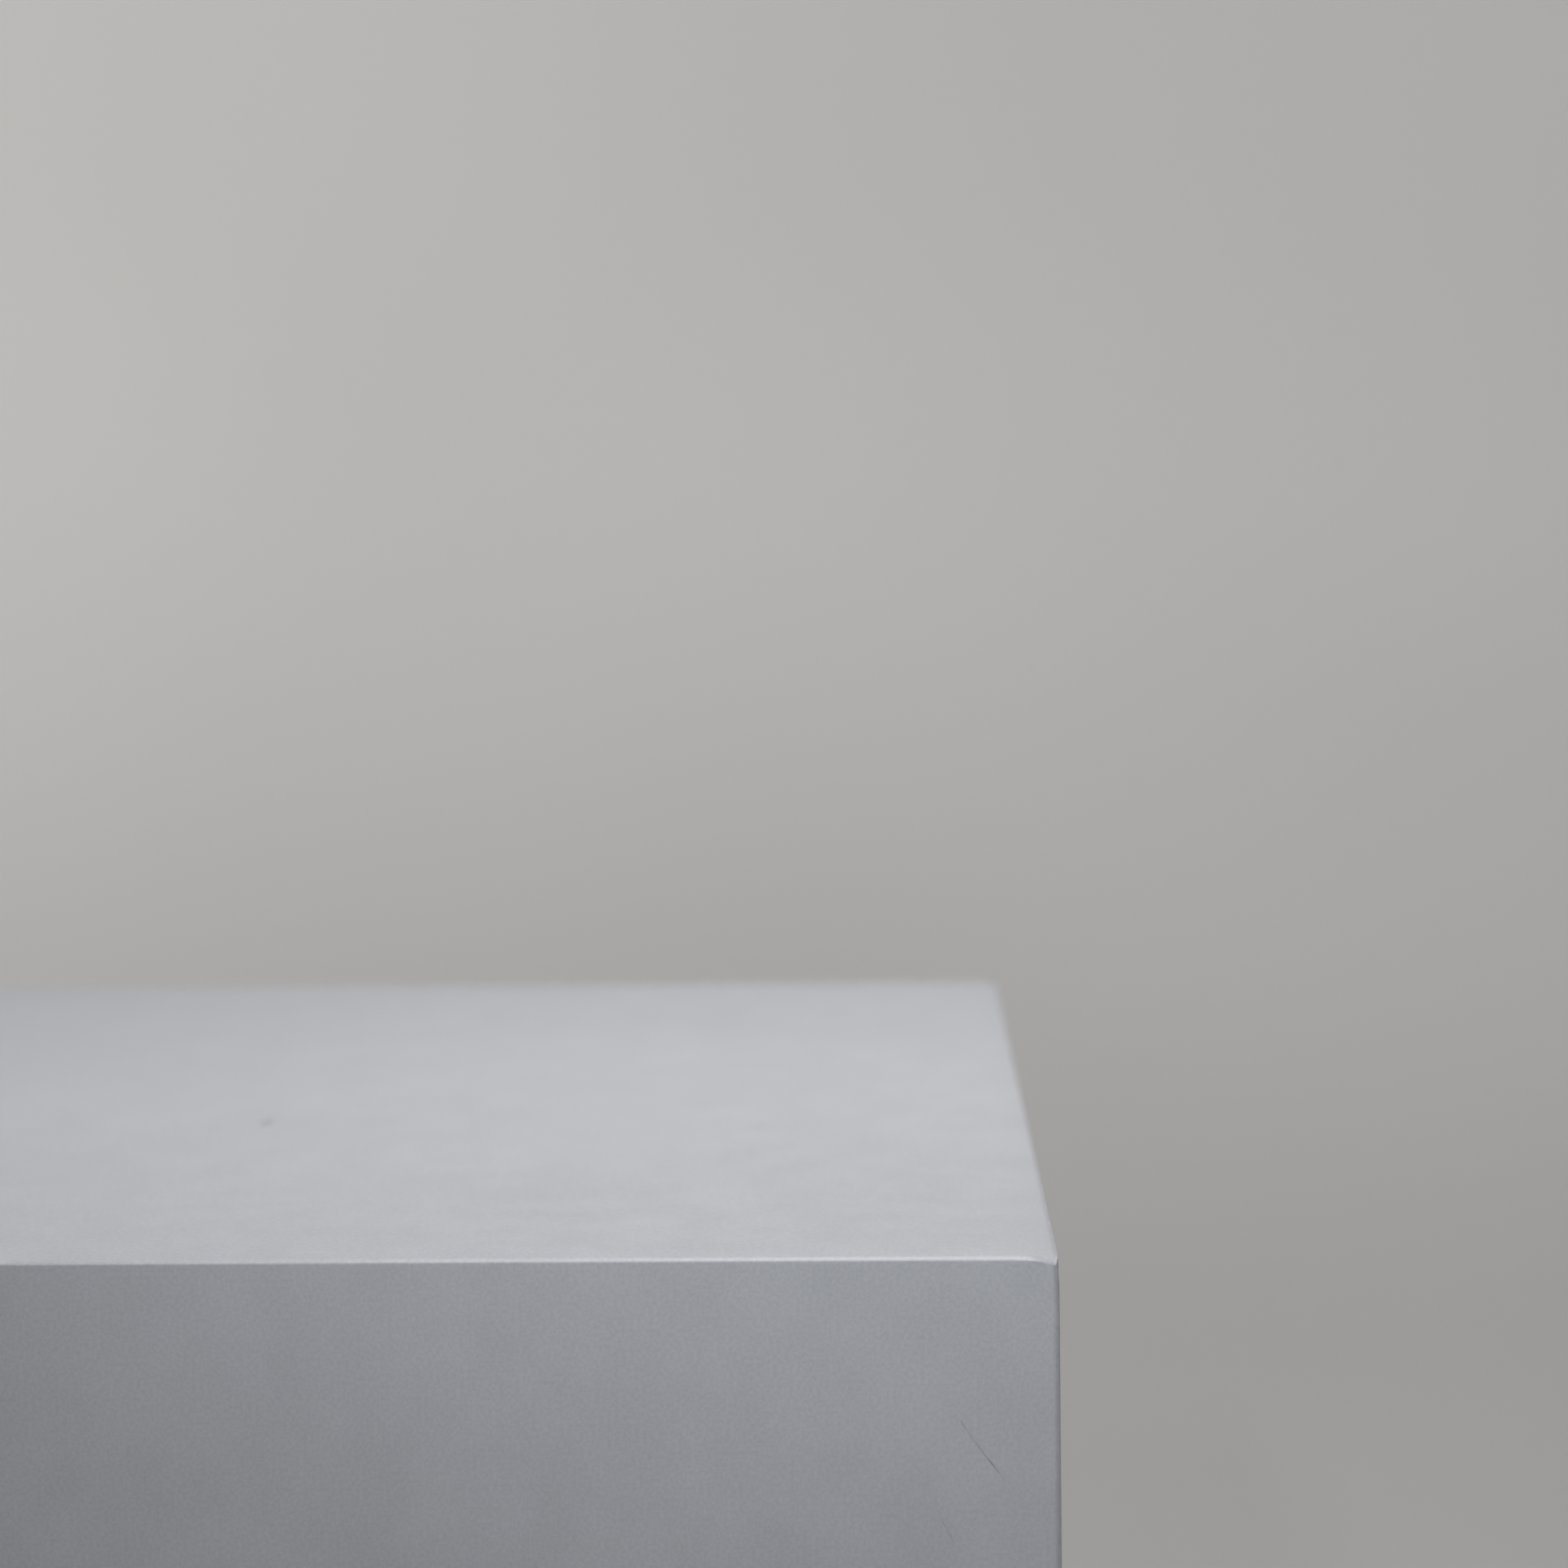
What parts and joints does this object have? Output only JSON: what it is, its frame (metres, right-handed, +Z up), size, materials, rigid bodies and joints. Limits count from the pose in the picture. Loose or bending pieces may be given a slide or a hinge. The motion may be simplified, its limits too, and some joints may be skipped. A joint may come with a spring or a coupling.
{
  "type": "display plinth",
  "caption": "Square painted box plinth that holds a sculpture at standing eye level, with mitred board sides on a hidden timber frame and screw levelling feet.",
  "frame": {"origin": "middle of the plinth at floor level, under the felt pads with the feet at their middle setting", "axes": "+Z up, +X to the viewer's right, the front face looks along -Y"},
  "size_m": [0.6, 0.6, 1],
  "materials": {
    "painted_mdf": "satin",
    "softwood": "matte",
    "birch_plywood": "matte",
    "beech": "matte",
    "zinc_steel": "satin",
    "black_nylon": "satin",
    "grey_felt": "matte"
  },
  "bodies": {
    "carcass": {"top_panel": "painted_mdf", "front_panel": "painted_mdf", "right_panel": "painted_mdf", "back_panel": "painted_mdf", "left_panel": "painted_mdf", "post_front_left": "softwood", "post_front_right": "softwood", "post_back_right": "softwood", "post_back_left": "softwood", "top_rail_front": "softwood", "top_rail_right": "softwood", "top_rail_back": "softwood", "top_rail_left": "softwood", "shelf_cleat_front": "softwood", "shelf_cleat_right": "softwood", "shelf_cleat_back": "softwood", "shelf_cleat_left": "softwood", "stiffening_shelf": "birch_plywood", "bottom_rail_front": "softwood", "bottom_rail_right": "softwood", "bottom_rail_back": "softwood", "bottom_rail_left": "softwood", "base_board": "birch_plywood", "foot_block_front_left": "softwood", "foot_block_front_right": "softwood", "foot_block_back_right": "softwood", "foot_block_back_left": "softwood", "tee_nuts": "zinc_steel", "corner_biscuits": "beech", "top_biscuits": "beech", "post_screws": "zinc_steel", "post_foot_screws": "zinc_steel", "top_rail_screws": "zinc_steel", "bottom_rail_screws": "zinc_steel", "cleat_screws": "zinc_steel", "shelf_screws": "zinc_steel", "block_screws": "zinc_steel"},
    "pad_front_left": {"foot_pad_front_left": "black_nylon", "foot_felt_front_left": "grey_felt"},
    "stem_front_left": {"foot_stem_front_left": "zinc_steel"},
    "pad_front_right": {"foot_pad_front_right": "black_nylon", "foot_felt_front_right": "grey_felt"},
    "stem_front_right": {"foot_stem_front_right": "zinc_steel"},
    "pad_back_right": {"foot_pad_back_right": "black_nylon", "foot_felt_back_right": "grey_felt"},
    "stem_back_right": {"foot_stem_back_right": "zinc_steel"},
    "pad_back_left": {"foot_pad_back_left": "black_nylon", "foot_felt_back_left": "grey_felt"},
    "stem_back_left": {"foot_stem_back_left": "zinc_steel"}
  },
  "joints": [
    {"name": "foot_front_left_height", "type": "slide", "parent": "carcass", "child": "pad_front_left", "axis": [0, 0, 1], "range_m": [-0.018, 0.006]},
    {"name": "foot_front_left_turn", "type": "hinge", "parent": "pad_front_left", "child": "stem_front_left", "pos_m": [-0.237, -0.237, 0], "axis": [0, 0, 1], "range_deg": [-4320, 1440]},
    {"name": "foot_front_right_height", "type": "slide", "parent": "carcass", "child": "pad_front_right", "axis": [0, 0, 1], "range_m": [-0.018, 0.006]},
    {"name": "foot_front_right_turn", "type": "hinge", "parent": "pad_front_right", "child": "stem_front_right", "pos_m": [0.237, -0.237, 0], "axis": [0, 0, 1], "range_deg": [-4320, 1440]},
    {"name": "foot_back_right_height", "type": "slide", "parent": "carcass", "child": "pad_back_right", "axis": [0, 0, 1], "range_m": [-0.018, 0.006]},
    {"name": "foot_back_right_turn", "type": "hinge", "parent": "pad_back_right", "child": "stem_back_right", "pos_m": [0.237, 0.237, 0], "axis": [0, 0, 1], "range_deg": [-4320, 1440]},
    {"name": "foot_back_left_height", "type": "slide", "parent": "carcass", "child": "pad_back_left", "axis": [0, 0, 1], "range_m": [-0.018, 0.006]},
    {"name": "foot_back_left_turn", "type": "hinge", "parent": "pad_back_left", "child": "stem_back_left", "pos_m": [-0.237, 0.237, 0], "axis": [0, 0, 1], "range_deg": [-4320, 1440]}
  ],
  "couplings": [
    {"joint": "foot_front_left_turn", "follows": "foot_front_left_height", "rad_per_m": 4188.8},
    {"joint": "foot_front_right_turn", "follows": "foot_front_right_height", "rad_per_m": 4188.8},
    {"joint": "foot_back_right_turn", "follows": "foot_back_right_height", "rad_per_m": 4188.8},
    {"joint": "foot_back_left_turn", "follows": "foot_back_left_height", "rad_per_m": 4188.8}
  ]
}
